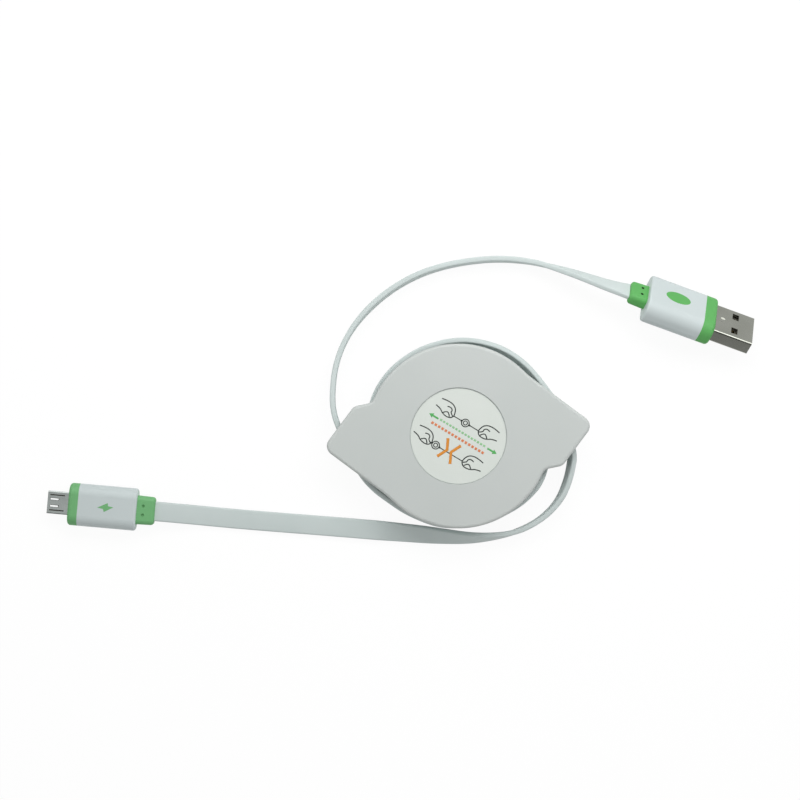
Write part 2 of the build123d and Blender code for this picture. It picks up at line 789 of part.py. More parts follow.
# Small plug: a pair of hooked latch springs that stand out of the windows
latch_root = half_height - device_shell_wall
latch_run = device_latch_length - 2 * device_latch_gap
with BuildPart() as device_plug_latches:
    for side in (-1, 1):
        latch_frame = over(device_frame, device_latch_distance, 0)
        latch_side = Plane(
            origin=latch_frame.from_local_coords(Vector(0, side * device_latch_spacing / 2, 0)),
            x_dir=latch_frame.x_dir,
            z_dir=-latch_frame.y_dir,
        )
        with BuildSketch(latch_side):
            Polygon(
                (-latch_run / 2, latch_root),
                (latch_run / 2, latch_root),
                (latch_run / 2, half_height),
                (device_latch_crest - latch_run / 2, half_height + device_latch_rise),
                (-latch_run / 2, half_height + device_latch_rise),
                align=None,
            )
        extrude(amount=device_latch_width / 2 - device_latch_gap, both=True)

# Small plug: insulating tongue with a rear block, and its row of contacts
device_tongue_bottom = device_shell_wall - half_height
device_tongue_top = device_tongue_bottom + device_tongue_thickness
device_tongue_width = device_shell_width - 2 * (device_shell_wall + device_shell_bevel)
with BuildPart() as device_plug_tongue:
    with BuildSketch(across(device_frame, device_collar_front - device_shell_seat)):
        add(device_bore_outline.sketch)
    extrude(amount=device_shell_seat)
    with BuildSketch(across(device_frame, device_collar_front)):
        with Locations((0, (device_tongue_bottom + device_tongue_top) / 2)):
            Rectangle(device_tongue_width, device_tongue_thickness)
    extrude(amount=device_shell_reach - device_tongue_setback)

with BuildPart() as device_plug_contacts:
    with BuildSketch(over(device_frame, device_collar_front + device_contact_length / 2, device_tongue_top)):
        with GridLocations(0, device_contact_pitch, 1, device_contact_count):
            Rectangle(device_contact_length, device_contact_width)
    extrude(amount=contact_thickness)

pieces = {
    "bottom_cover": bottom_cover,
    "top_cover": top_cover,
    "cover_screw": cover_screw,
    "label_disc": label_disc,
    "spool_drum": spool_drum,
    "spool_lid": spool_lid,
    "cable_winding": cable_winding,
    "mainspring": mainspring,
    "stop_ball": stop_ball,
    "host_lead": host_lead,
    "host_plug_sleeve": host_plug_sleeve,
    "host_plug_overmould": host_plug_overmould,
    "host_plug_shell": host_plug_shell,
    "host_plug_tongue": host_plug_tongue,
    "host_plug_contacts": host_plug_contacts,
    "device_lead": device_lead,
    "device_plug_sleeve": device_plug_sleeve,
    "device_plug_overmould": device_plug_overmould,
    "device_plug_shell": device_plug_shell,
    "device_plug_latches": device_plug_latches,
    "device_plug_tongue": device_plug_tongue,
    "device_plug_contacts": device_plug_contacts,
}

os.makedirs("parts", exist_ok=True)
for name, piece in pieces.items():
    piece.part.label = name
    export_step(piece.part, f"parts/{name}.step")

# Bend radii of the free cable ends, and their volume against section times length
for name, route, path, lead in (
    ("host_lead", host_route, host_path, host_lead),
    ("device_lead", device_route, device_path, device_lead),
):
    radii = [round(radius, 1) for radius in bend_radii(route)]
    print(name, "length", round(path.length, 1), "bend radii", radii)
    print(name, "volume share", round(lead.part.volume / (cable_width * cable_thickness * path.length), 4))
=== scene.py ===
import math

import bpy
from mathutils import Matrix, Vector


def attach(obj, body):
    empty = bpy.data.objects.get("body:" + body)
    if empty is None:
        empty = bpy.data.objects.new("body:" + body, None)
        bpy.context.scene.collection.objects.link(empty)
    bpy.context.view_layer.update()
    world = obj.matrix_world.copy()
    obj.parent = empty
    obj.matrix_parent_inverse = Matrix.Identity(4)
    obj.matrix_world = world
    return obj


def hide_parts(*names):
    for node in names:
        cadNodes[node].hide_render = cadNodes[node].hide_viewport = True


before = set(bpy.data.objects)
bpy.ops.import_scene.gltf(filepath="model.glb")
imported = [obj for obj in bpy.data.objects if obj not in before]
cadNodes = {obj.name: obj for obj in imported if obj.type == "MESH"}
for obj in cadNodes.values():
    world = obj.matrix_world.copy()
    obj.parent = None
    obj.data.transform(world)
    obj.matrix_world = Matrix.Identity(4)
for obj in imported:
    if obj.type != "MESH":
        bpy.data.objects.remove(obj)        # reel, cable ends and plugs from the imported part
for leftover in ("Cube", "Light", "Camera"):        # Blender's own starting objects
    if leftover in bpy.data.objects:
        bpy.data.objects.remove(bpy.data.objects[leftover])
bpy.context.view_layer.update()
mm = 0.001        # the part's sizes are in millimetres, those of floor, cards and lamp in metres
print("frame loaded:", len(cadNodes), "nodes")


# selection helpers

def pickOnly(piece):
    bpy.ops.object.select_all(action="DESELECT")
    piece.select_set(True)
    bpy.context.view_layer.objects.active = piece


def keepPiece(piece, name, finish, body):
    # place goes into the mesh, then the piece rides on its body
    pickOnly(piece)
    bpy.ops.object.transform_apply(location=True, rotation=True, scale=True)
    piece.name = name
    piece.data.name = name
    piece.data.materials.clear()
    piece.data.materials.append(finish)
    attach(piece, body)
    return piece


# finishes

noiseSpan = (0.3, 0.7)        # most values of a noise lie between these


def newFinish(name):
    finish = bpy.data.materials.new(name)
    finish.use_nodes = True
    tree = finish.node_tree
    return finish, tree, tree.nodes["Principled BSDF"]


def addNoise(tree, scale, detail, roughness=0.5, stretch=(1, 1, 1), turn=0.0):
    coords = tree.nodes.new("ShaderNodeTexCoord")
    mapping = tree.nodes.new("ShaderNodeMapping")
    mapping.inputs["Scale"].default_value = stretch
    mapping.inputs["Rotation"].default_value = (0, 0, math.radians(turn))
    noise = tree.nodes.new("ShaderNodeTexNoise")
    noise.inputs["Scale"].default_value = scale
    noise.inputs["Detail"].default_value = detail
    noise.inputs["Roughness"].default_value = roughness
    tree.links.new(coords.outputs["Object"], mapping.inputs["Vector"])
    tree.links.new(mapping.outputs["Vector"], noise.inputs["Vector"])
    return noise.outputs["Fac"]


def tintBetween(tree, bsdf, factor, dark, light):
    ramp = tree.nodes.new("ShaderNodeValToRGB")
    ramp.color_ramp.elements[0].position = noiseSpan[0]
    ramp.color_ramp.elements[1].position = noiseSpan[1]
    ramp.color_ramp.elements[0].color = (*dark, 1)
    ramp.color_ramp.elements[1].color = (*light, 1)
    tree.links.new(factor, ramp.inputs["Fac"])
    tree.links.new(ramp.outputs["Color"], bsdf.inputs["Base Color"])


def spreadRoughness(tree, bsdf, factor, low, high):
    spread = tree.nodes.new("ShaderNodeMapRange")
    spread.inputs["From Min"].default_value = noiseSpan[0]
    spread.inputs["From Max"].default_value = noiseSpan[1]
    spread.inputs["To Min"].default_value = low
    spread.inputs["To Max"].default_value = high
    tree.links.new(factor, spread.inputs["Value"])
    tree.links.new(spread.outputs["Result"], bsdf.inputs["Roughness"])


def raiseGrain(tree, bsdf, factor, strength, depth):
    bump = tree.nodes.new("ShaderNodeBump")
    bump.inputs["Strength"].default_value = strength
    bump.inputs["Distance"].default_value = depth
    tree.links.new(factor, bump.inputs["Height"])
    tree.links.new(bump.outputs["Normal"], bsdf.inputs["Normal"])


def mouldedFinish(name, look):
    # moulded plastic: slow drift of tone, fine satin grain
    finish, tree, bsdf = newFinish(name)
    drift = addNoise(tree, look["driftScale"], look["driftDetail"])
    grain = addNoise(tree, look["grainScale"], look["grainDetail"], look["grainFineness"])
    tintBetween(tree, bsdf, drift, look["dark"], look["light"])
    spreadRoughness(tree, bsdf, grain, *look["roughness"])
    raiseGrain(tree, bsdf, grain, look["grainStrength"], look["grainDepth"] * mm)
    bsdf.inputs["Specular IOR Level"].default_value = look["gloss"]
    return finish


def sheetMetalFinish(name, look):
    # plated sheet: long rolling marks, a few soft stains
    finish, tree, bsdf = newFinish(name)
    marks = addNoise(
        tree, look["markScale"], look["markDetail"], look["markFineness"], look["stretch"], look["turn"]
    )
    stains = addNoise(tree, look["stainScale"], look["stainDetail"])
    tintBetween(tree, bsdf, stains, look["dark"], look["light"])
    spreadRoughness(tree, bsdf, marks, *look["roughness"])
    raiseGrain(tree, bsdf, marks, look["grainStrength"], look["grainDepth"] * mm)
    bsdf.inputs["Metallic"].default_value = 1.0
    return finish


caseLook = {
    "dark": (0.600, 0.640, 0.620), "light": (0.625, 0.660, 0.642),
    "driftScale": 45, "driftDetail": 2,
    "grainScale": 2400, "grainDetail": 4, "grainFineness": 0.6,
    "grainStrength": 0.04, "grainDepth": 0.02,
    "roughness": (0.46, 0.56), "gloss": 0.18,
}
spoolLook = dict(caseLook, dark=(0.52, 0.55, 0.54), light=(0.55, 0.58, 0.57))
plugWhiteLook = dict(
    caseLook, dark=(0.620, 0.690, 0.690), light=(0.645, 0.715, 0.715),
    grainScale=3000, roughness=(0.42, 0.52), gloss=0.15,
)
hostGreenLook = dict(
    caseLook, dark=(0.115, 0.430, 0.112), light=(0.135, 0.460, 0.132),
    grainScale=3400, roughness=(0.44, 0.54), gloss=0.15,
)
deviceGreenLook = dict(hostGreenLook, dark=(0.175, 0.470, 0.192), light=(0.195, 0.500, 0.212))
cableLook = dict(
    caseLook, dark=(0.635, 0.712, 0.697), light=(0.665, 0.738, 0.725),
    driftScale=90, grainScale=4200, grainStrength=0.02, roughness=(0.52, 0.64), gloss=0.1,
)
labelLook = dict(
    caseLook, dark=(0.750, 0.800, 0.750), light=(0.770, 0.815, 0.770),
    driftScale=140, grainScale=5200, roughness=(0.42, 0.52), gloss=0.18,
)
insulatorLook = dict(
    caseLook, dark=(0.285, 0.275, 0.220), light=(0.325, 0.315, 0.255),
    roughness=(0.45, 0.6),
)
hostSteelLook = {
    "dark": (0.255, 0.262, 0.232), "light": (0.285, 0.292, 0.262),
    "stainScale": 160, "stainDetail": 3,
    "markScale": 900, "markDetail": 3, "markFineness": 0.6, "stretch": (0.12, 1.0, 1.0), "turn": 23.4,
    "grainStrength": 0.02, "grainDepth": 0.01, "roughness": (0.14, 0.22),
}
deviceSteelLook = dict(
    hostSteelLook, dark=(0.255, 0.280, 0.270), light=(0.330, 0.355, 0.345), turn=8.4,
)
# latches: the same plated steel painted near white, a painted highlight of their sloped tops
latchPaintedHighlightLook = dict(deviceSteelLook, dark=(0.86, 0.88, 0.87), light=(0.92, 0.94, 0.93))
# contacts: gold darkened well below plated gold, painted shade of their place deep inside the shell
goldPaintedShadeLook = dict(hostSteelLook, dark=(0.30, 0.22, 0.09), light=(0.36, 0.27, 0.12))
hiddenSteelLook = dict(hostSteelLook, dark=(0.42, 0.42, 0.42), light=(0.50, 0.50, 0.50))

caseWhite = mouldedFinish("caseWhite", caseLook)
spoolWhite = mouldedFinish("spoolWhite", spoolLook)
plugWhite = mouldedFinish("plugWhite", plugWhiteLook)
hostGreen = mouldedFinish("hostGreen", hostGreenLook)
deviceGreen = mouldedFinish("deviceGreen", deviceGreenLook)
cableJacket = mouldedFinish("cableJacket", cableLook)
labelFilm = mouldedFinish("labelFilm", labelLook)
plugInsulator = mouldedFinish("plugInsulator", insulatorLook)
hostSteel = sheetMetalFinish("hostSteel", hostSteelLook)
deviceSteel = sheetMetalFinish("deviceSteel", deviceSteelLook)
latchPaintedHighlightSteel = sheetMetalFinish("latchPaintedHighlightSteel", latchPaintedHighlightLook)
contactGoldPaintedShade = sheetMetalFinish("contactGoldPaintedShade", goldPaintedShadeLook)
hiddenSteel = sheetMetalFinish("hiddenSteel", hiddenSteelLook)

nodeFinishes = {
    "bottom_cover": caseWhite, "top_cover": caseWhite, "label_disc": labelFilm,
    "cover_screw": hiddenSteel, "mainspring": hiddenSteel, "stop_ball": hiddenSteel,
    "spool_drum": spoolWhite, "spool_lid": spoolWhite, "cable_winding": cableJacket,
    "host_plug_sleeve": plugWhite, "device_plug_sleeve": plugWhite,
    "host_plug_overmould": hostGreen, "device_plug_overmould": deviceGreen,
    "host_plug_shell": hostSteel, "device_plug_shell": deviceSteel,
    "device_plug_latches": latchPaintedHighlightSteel,
    "host_plug_tongue": plugInsulator, "device_plug_tongue": plugInsulator,
    "host_plug_contacts": contactGoldPaintedShade, "device_plug_contacts": contactGoldPaintedShade,
}
for nodeName, finish in nodeFinishes.items():
    for materialSlot in cadNodes[nodeName].material_slots:
        materialSlot.material = finish
print("finishes on", len(nodeFinishes), "nodes")


# plugs: cable entry, the way that they point, how far the nose dips and how far the face is rolled

hostPlug = {"entry": (53.51, 40.05, 9.774), "heading": -23.0, "dip": 5.5, "roll": 46.0}
devicePlug = {"entry": (-92.30, -17.54, 3.5), "heading": 171.6, "dip": 0.0, "roll": 0.0}


def turnFace(ahead, roll):
    # sideways and outward from a face that is rolled about the way ahead
    left = Vector((0, 0, 1)).cross(ahead).normalized()
    up = ahead.cross(left)
    faceOut = up * math.cos(math.radians(roll)) + left * math.sin(math.radians(roll))
    return faceOut.cross(ahead), faceOut


def layOnPlug(piece, plug, ahead, sideways, outward):
    # place and turn of a flat piece on a plug's face
    heading = math.radians(plug["heading"])
    dip = math.radians(plug["dip"])
    level = math.cos(dip)
    axis = Vector((math.cos(heading) * level, math.sin(heading) * level, -math.sin(dip)))
    across, faceOut = turnFace(axis, plug["roll"])
    piece.location = (Vector(plug["entry"]) + axis * ahead + across * sideways + faceOut * outward) * mm
    piece.rotation_euler = Matrix((axis, across, faceOut)).transposed().to_euler()


# bolt sign on the small plug's sleeve: six corners, ahead and then to the left

boltSign = {
    "corners": [
        (2.40, 0.22), (-0.65, -1.40), (-0.80, -0.49), (-2.40, -0.22), (0.33, 1.39), (0.66, 0.49),
    ],
    "ahead": 14.66, "outward": 3.49, "thickness": 0.04,
}


def makeBoltSign():
    bpy.ops.object.select_all(action="DESELECT")
    bpy.ops.mesh.primitive_circle_add(vertices=len(boltSign["corners"]), radius=mm, fill_type="NGON")
    sign = bpy.context.object
    for vertex, corner in zip(sign.data.vertices, boltSign["corners"]):
        vertex.co = Vector((*corner, 0)) * mm
    bpy.ops.object.mode_set(mode="EDIT")
    bpy.ops.mesh.select_all(action="SELECT")
    bpy.ops.mesh.extrude_region_move(
        TRANSFORM_OT_translate={"value": (0, 0, boltSign["thickness"] * mm)}
    )
    bpy.ops.mesh.select_all(action="SELECT")
    bpy.ops.mesh.normals_make_consistent(inside=False)
    bpy.ops.object.mode_set(mode="OBJECT")
    layOnPlug(sign, devicePlug, boltSign["ahead"], 0.0, boltSign["outward"])
    return keepPiece(sign, "boltSign", deviceGreen, "case")


boltPiece = makeBoltSign()


# dished floors of the small holes in both strain reliefs, coloured darker than the relief as painted
# shade of the holes' depth

reliefHoles = {
    "radius": 0.44, "corners": 16, "ahead": 3.5, "spacing": 2.7,
    "hostLevel": 1.98, "deviceLevel": 2.02,        # of the rim, out from the middle of the plug
    "slopes": [(0.14, 0.18), (0.14, 0.08)],        # inwards and down, from the rim to the flat middle
}
# hole floors: near black in the wide plug and a darker green in the small one, painted shade; the dish
# adds real shading of its own
hostHolePaintedShadeLook = dict(hostGreenLook, dark=(0.012, 0.045, 0.012), light=(0.018, 0.060, 0.018), gloss=0.1)
deviceHolePaintedShadeLook = dict(hostHolePaintedShadeLook, dark=(0.130, 0.350, 0.142), light=(0.150, 0.390, 0.162))
hostHolePaintedShade = mouldedFinish("hostHolePaintedShade", hostHolePaintedShadeLook)
deviceHolePaintedShade = mouldedFinish("deviceHolePaintedShade", deviceHolePaintedShadeLook)


def dishHole(name, plug, side, level, finish):
    bpy.ops.object.select_all(action="DESELECT")
    bpy.ops.mesh.primitive_circle_add(
        vertices=reliefHoles["corners"], radius=reliefHoles["radius"] * mm, fill_type="NGON"
    )
    hole = bpy.context.object
    bpy.ops.object.mode_set(mode="EDIT")
    bpy.ops.mesh.select_all(action="SELECT")
    for inwards, down in reliefHoles["slopes"]:
        bpy.ops.mesh.inset(thickness=inwards * mm, depth=-down * mm)
    bpy.ops.object.mode_set(mode="OBJECT")
    layOnPlug(hole, plug, reliefHoles["ahead"], side * reliefHoles["spacing"] / 2, level)
    return keepPiece(hole, name, finish, "case")


hostHoles = [
    dishHole("hostHole" + end, hostPlug, side, reliefHoles["hostLevel"], hostHolePaintedShade)
    for end, side in (("Left", 1), ("Right", -1))
]
deviceHoles = [
    dishHole("deviceHole" + end, devicePlug, side, reliefHoles["deviceLevel"], deviceHolePaintedShade)
    for end, side in (("Left", 1), ("Right", -1))
]
print("bolt sign and relief holes laid on the plugs")


# free cable ends: flat cable along a smooth line that the route's points guide

splineOrder = 3        # of the cables' lines and of the label's curved strokes
flatCable = {
    "width": 5.9, "thickness": 1.6, "edgeRound": 0.5, "cornerSteps": 5,
    "smoothness": 12,        # steps of the line for each point of the route
    "smoothAngle": 40,        # sharper edges are shaded sharp
}

# rolls: distance back from the plug, then degrees (90 stands on edge, 0 lies flat)
deviceCable = {
    "plug": devicePlug,
    "route": [
        (-25.5, -3.4, 6.3), (-26.6, 3.3, 6.3), (-25.7, 10.1, 6.3), (-22.6, 16.7, 6.3),
        (-16.9, 22.7, 6.3), (-8.2, 27.35, 6.3), (1.7, 28.6, 6.3), (11.3, 26.3, 6.5),
        (19.8, 21.1, 6.5), (25.9, 13.1, 6.3), (29.9, 7.3, 6.3), (32.6, 0.8, 6.3),
        (34.3, -6.7, 6.3), (33.4, -11.4, 6.0), (32.1, -15.8, 5.3), (29.9, -20.5, 4.4),
        (26.1, -24.8, 3.6), (20.9, -28.2, 3.1), (15.1, -30.3, 3.0), (9.3, -31.05, 3.05),
        (2.0, -31.15, 3.15), (-7.0, -29.95, 2.85), (-16.05, -28.6, 2.2), (-25.15, -27.3, 1.5),
        (-38.0, -25.5, 0.95), (-55.0, -23.2, 0.8), (-70.0, -21.1, 0.8), (-80.0, -19.5, 1.1),
        (-86.36, -18.42, 3.5),
    ],
    "rolls": [
        (200, 90), (188, 104), (180, 112), (166, 112), (158, 104), (149, 90), (145, 91), (139, 101),
        (129, 98.5), (123, 93), (117, 90), (111, 89), (106, 83), (99.8, 72), (94, 60), (88, 47),
        (82, 34), (76, 27), (70, 17), (68, 9), (58, 3), (50, 0),
    ],
}
hostCable = {
    "plug": hostPlug,
    "route": [
        (25.5, 3.4, 6.3), (26.8, -3.3, 6.3), (26.1, -9.8, 6.3), (23.9, -15.5, 6.3),
        (20.4, -19.2, 6.3), (16.5, -21.9, 6.3), (11.1, -24.3, 6.3), (3.1, -26.4, 6.3),
        (-6.4, -26.45, 6.3), (-15.05, -22.5, 6.3), (-21.0, -18.4, 6.3), (-27.0, -13.8, 6.3),
        (-30.95, -7.65, 6.3), (-33.3, -0.8, 6.3), (-35.9, 5.3, 6.3), (-37.0, 10.3, 5.9),
        (-36.8, 15.8, 5.2), (-35.5, 23.3, 4.2), (-32.35, 30.55, 3.4), (-27.2, 37.4, 3.05),
        (-19.75, 43.7, 3.0), (-11.8, 48.1, 3.0), (-4.1, 50.7, 3.0), (4.7, 52.2, 3.0),
        (15.0, 52.6, 2.95), (24.5, 51.3, 2.95), (31.3, 49.15, 4.4), (39.45, 45.85, 7.7),
        (47.9, 41.95, 10.3),
    ],
    "rolls": [
        (196, 90), (182, 98), (155, 100), (144, 90), (95, 90), (84, 95), (66, 95), (52, 93), (37, 92),
        (28, 88), (20.2, 77), (14.7, 71), (9.1, 65), (2.9, 55), (0, 46),
    ],
}


def smoothLine(name, cable):
    # control points of an open spline, then the points that the bare curve gives
    route = cable["route"] + [cable["plug"]["entry"]]
    curve = bpy.data.curves.new(name, "CURVE")
    curve.dimensions = "3D"
    spline = curve.splines.new("NURBS")
    spline.points.add(len(route) - 1)
    for point, place in zip(spline.points, route):
        point.co = (*(Vector(place) * mm), 1)
    spline.order_u = splineOrder
    spline.use_endpoint_u = True
    spline.resolution_u = flatCable["smoothness"]
    holder = bpy.data.objects.new(name, curve)
    bpy.context.scene.collection.objects.link(holder)
    bpy.context.view_layer.update()
    line = bpy.data.meshes.new_from_object(holder)
    points = [vertex.co.copy() for vertex in line.vertices]
    bpy.data.objects.remove(holder)
    bpy.data.meshes.remove(line)
    bpy.data.curves.remove(curve)
    return points


def cableSection():
    # rounded rectangle, width first, going round once
    halfWidth = flatCable["width"] / 2 - flatCable["edgeRound"]
    halfThickness = flatCable["thickness"] / 2 - flatCable["edgeRound"]
    section = []
    for corner, (sideX, sideY) in enumerate(((1, 1), (-1, 1), (-1, -1), (1, -1))):
        for step in range(flatCable["cornerSteps"] + 1):
            angle = math.radians(90 * (corner + step / flatCable["cornerSteps"]))
            section.append((
                sideX * halfWidth + flatCable["edgeRound"] * math.cos(angle),
                sideY * halfThickness + flatCable["edgeRound"] * math.sin(angle),
            ))
    return section


def rollAt(fromPlug, rolls):
    # even turn between the listed rolls
    if fromPlug >= rolls[0][0]:
        return rolls[0][1]
    for (far, farRoll), (near, nearRoll) in zip(rolls, rolls[1:]):
        if fromPlug >= near:
            return farRoll + (nearRoll - farRoll) * (far - fromPlug) / (far - near)
    return rolls[-1][1]


def cablePlaces(points, runs, section, rolls):
    # corners of one section at each point of the line, rolled as listed
    length = sum(runs)
    places = []
    travelled = 0.0
    for index, point in enumerate(points):
        ahead = points[min(index + 1, len(points) - 1)] - points[max(index - 1, 0)]
        ahead.normalize()
        sideways, faceOut = turnFace(ahead, rollAt((length - travelled) / mm, rolls))
        for acrossWidth, throughThickness in section:
            places.append(point + sideways * acrossWidth * mm + faceOut * throughThickness * mm)
        if index < len(runs):
            travelled += runs[index]
    return places


def cableSkin(placeCount, count):
    # faces from each section to the next, then one over each end
    skin = []
    for first in range(0, placeCount - count, count):
        for edge in range(count):
            near = first + edge
            nextEdge = first + (edge + 1) % count
            skin.append((near, near + count, nextEdge + count, nextEdge))
    skin.append(tuple(range(count)))
    skin.append(tuple(range(placeCount - 1, placeCount - count - 1, -1)))
    return skin


def layCable(name, cable, leadNode):
    points = smoothLine(name, cable)
    runs = [(after - before).length for before, after in zip(points, points[1:])]
    section = cableSection()
    places = cablePlaces(points, runs, section, cable["rolls"])
    mesh = bpy.data.meshes.new(name)
    mesh.from_pydata(places, [], cableSkin(len(places), len(section)))
    piece = bpy.data.objects.new(name, mesh)
    bpy.context.scene.collection.objects.link(piece)
    pickOnly(piece)
    bpy.ops.object.mode_set(mode="EDIT")
    bpy.ops.mesh.select_all(action="SELECT")
    bpy.ops.mesh.normals_make_consistent(inside=False)
    bpy.ops.object.mode_set(mode="OBJECT")
    bpy.ops.object.shade_smooth_by_angle(angle=math.radians(flatCable["smoothAngle"]))
    keepPiece(piece, name, cableJacket, "case")
    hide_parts(leadNode)


layCable("hostFlatCable", hostCable, "host_lead")
layCable("deviceFlatCable", deviceCable, "device_lead")


# label print: plain pictures in a few inks, along and across the label's own lines

labelPrint = {
    "turn": -34.3, "level": 12.8,
    "flatness": 0.08,        # thickness of a stroke as a share of its width
    "cableLine": 0.3,        # width of the drawn cable
    "dashShare": 0.66,        # of each step that a dash fills
    "roundSteps": 24, "smoothSteps": 6, "bevelSteps": 2,
}
inkLooks = {
    "blackInk": dict(labelLook, dark=(0.024, 0.030, 0.028), light=(0.032, 0.038, 0.035)),
    "greenInk": dict(labelLook, dark=(0.100, 0.440, 0.120), light=(0.115, 0.470, 0.135)),
    "paleGreenInk": dict(labelLook, dark=(0.290, 0.590, 0.290), light=(0.320, 0.630, 0.320)),
    "orangeInk": dict(labelLook, dark=(0.740, 0.230, 0.096), light=(0.780, 0.255, 0.108)),
    "amberInk": dict(labelLook, dark=(0.740, 0.275, 0.037), light=(0.780, 0.300, 0.043)),
}


def stroke(points, width, endWidth=None, closed=False, smooth=False):
    last = width if endWidth is None else endWidth
    steps = max(len(points) - 1, 1)
    widths = [width + (last - width) * step / steps for step in range(len(points))]
    return {"points": points, "widths": widths, "closed": closed, "smooth": smooth}


def ring(middle, radius, width):
    turns = [2 * math.pi * step / labelPrint["roundSteps"] for step in range(labelPrint["roundSteps"])]
    points = [
        (middle[0] + radius * math.cos(turn), middle[1] + radius * math.sin(turn)) for turn in turns
    ]
    return stroke(points, width, closed=True)


reelSign = {
    "outerRadius": 1.15, "outerLine": 0.32, "innerRadius": 0.6, "innerLine": 0.3,
    "lugFrom": 1.2, "lugTo": 1.75, "lugWidth": 0.75, "lugEndWidth": 0.3,
}


def drawReel(middle):
    # two rings and a lug each side for the cable
    along, up = middle
    outer = ring(middle, reelSign["outerRadius"], reelSign["outerLine"])
    inner = ring(middle, reelSign["innerRadius"], reelSign["innerLine"])
    lugs = [
        stroke(
            [(along + side * reelSign["lugFrom"], up), (along + side * reelSign["lugTo"], up)],
            reelSign["lugWidth"], reelSign["lugEndWidth"],
        )
        for side in (-1, 1)
    ]
    return [outer, inner] + lugs


handSign = {        # closed hand seen from the side, each stroke along and up from the grip
    "line": 0.34,
    "strokes": {
        "back": [(-5.6, 2.7), (-3.8, 3.1), (-1.5, 2.9), (-0.1, 1.6), (0.1, 0.0)],
        "palm": [(-6.2, 0.2), (-4.6, 0.0), (-3.3, -1.0), (-1.6, -1.3), (-0.3, -0.9), (0.1, 0.0)],
        "upperFinger": [(-3.0, 1.5), (-2.0, 1.9), (-1.1, 1.2), (-1.3, 0.4), (-0.2, -0.2)],
        "lowerFinger": [(-3.4, -0.9), (-2.6, 0.1), (-1.6, 0.1), (-1.0, -0.9)],
    },
}


def drawHand(grip, side):
    return [
        stroke(
            [(grip[0] + side * along, grip[1] + up) for along, up in points],
            handSign["line"], smooth=True,
        )
        for points in handSign["strokes"].values()
    ]


greenDashes = {"start": -7.2, "end": 8.8, "height": 0.62, "up": 1.45, "count": 15}
orangeDashes = {"start": -9.0, "end": 9.5, "height": 0.78, "up": -0.55, "count": 16}


def drawDashes(row):
    # plain dashes, evenly spaced
    start, up = row["start"], row["up"]
    step = (row["end"] - start) / row["count"]
    share = labelPrint["dashShare"]
    return [
        stroke([(start + step * index, up), (start + step * (index + share), up)], row["height"])
        for index in range(row["count"])
    ]


arrowSign = {
    "shaft": 2.0, "shaftWidth": 0.55,
    "headFrom": 1.9, "headTo": 3.2, "headWidth": 1.5, "tipWidth": 0.05,
    "places": [(-7.7, -1, 1.35), (9.3, 1, 1.3)],        # tail, the way it points, height
}


def drawArrow(tail, side, up):
    shaft = stroke([(tail, up), (tail + side * arrowSign["shaft"], up)], arrowSign["shaftWidth"])
    head = stroke(
        [(tail + side * arrowSign["headFrom"], up), (tail + side * arrowSign["headTo"], up)],
        arrowSign["headWidth"], arrowSign["tipWidth"],
    )
    return [shaft, head]


chevronSign = {
    "reach": 1.55, "rise": 3.15, "width": 0.9,
    "places": [(-0.75, -1, -5.25), (0.6, 1, -5.25)],        # tip, the way it opens, height
}


def drawChevron(tip, side, up):
    end = tip + side * chevronSign["reach"]
    rise = chevronSign["rise"]
    return stroke([(end, up + rise), (tip, up), (end, up - rise)], chevronSign["width"])


def layInk(name, strokes):
    curve = bpy.data.curves.new(name, "CURVE")
    curve.dimensions = "3D"
    curve.bevel_depth = mm / 2        # a point's radius is then its width in millimetres
    curve.bevel_resolution = labelPrint["bevelSteps"]
    curve.use_fill_caps = True
    for mark in strokes:
        spline = curve.splines.new("NURBS" if mark["smooth"] else "POLY")
        spline.points.add(len(mark["points"]) - 1)
        for point, place, width in zip(spline.points, mark["points"], mark["widths"]):
            point.co = (place[0] * mm, place[1] * mm, 0, 1)
            point.radius = width
        if mark["smooth"]:
            spline.order_u = splineOrder
            spline.use_endpoint_u = True
            spline.resolution_u = labelPrint["smoothSteps"]
        spline.use_cyclic_u = mark["closed"]
    piece = bpy.data.objects.new(name, curve)
    bpy.context.scene.collection.objects.link(piece)
    pickOnly(piece)
    bpy.ops.object.convert(target="MESH")
    piece = bpy.context.object
    piece.location = (0, 0, labelPrint["level"] * mm)
    piece.rotation_euler = (0, 0, math.radians(labelPrint["turn"]))
    piece.scale = (1, 1, labelPrint["flatness"])
    keepPiece(piece, name, mouldedFinish(name, inkLooks[name]), "case")


pullPicture = {"up": 4.4, "hands": (-4.3, 4.4), "reel": -0.2, "cables": [(-4.3, -2.0), (1.5, 4.4)]}
windPicture = {"up": -5.8, "hands": (-5.9, 4.9), "reel": -4.4, "cables": [(-2.7, 4.9)]}


def drawPictures(pictures):
    # cables first, then the reels, then a hand at each end
    strokes = []
    for picture in pictures:
        for start, end in picture["cables"]:
            line = [(start, picture["up"]), (end, picture["up"])]
            strokes.append(stroke(line, labelPrint["cableLine"]))
    for picture in pictures:
        strokes += drawReel((picture["reel"], picture["up"]))
    for picture in pictures:
        for along, side in zip(picture["hands"], (1, -1)):
            strokes += drawHand((along, picture["up"]), side)
    return strokes


layInk("blackInk", drawPictures([pullPicture, windPicture]))
layInk("greenInk", [mark for place in arrowSign["places"] for mark in drawArrow(*place)])
layInk("paleGreenInk", drawDashes(greenDashes))
layInk("orangeInk", drawDashes(orangeDashes))
layInk("amberInk", [drawChevron(*place) for place in chevronSign["places"]])
print("label printed in", len(inkLooks), "inks")


# camera straight above

photoView = {
    "place": (-16.7, 11.7, 700.0), "turn": -3.3, "lens": 104.0, "sensor": 36.0, "clipStart": 0.01,
}


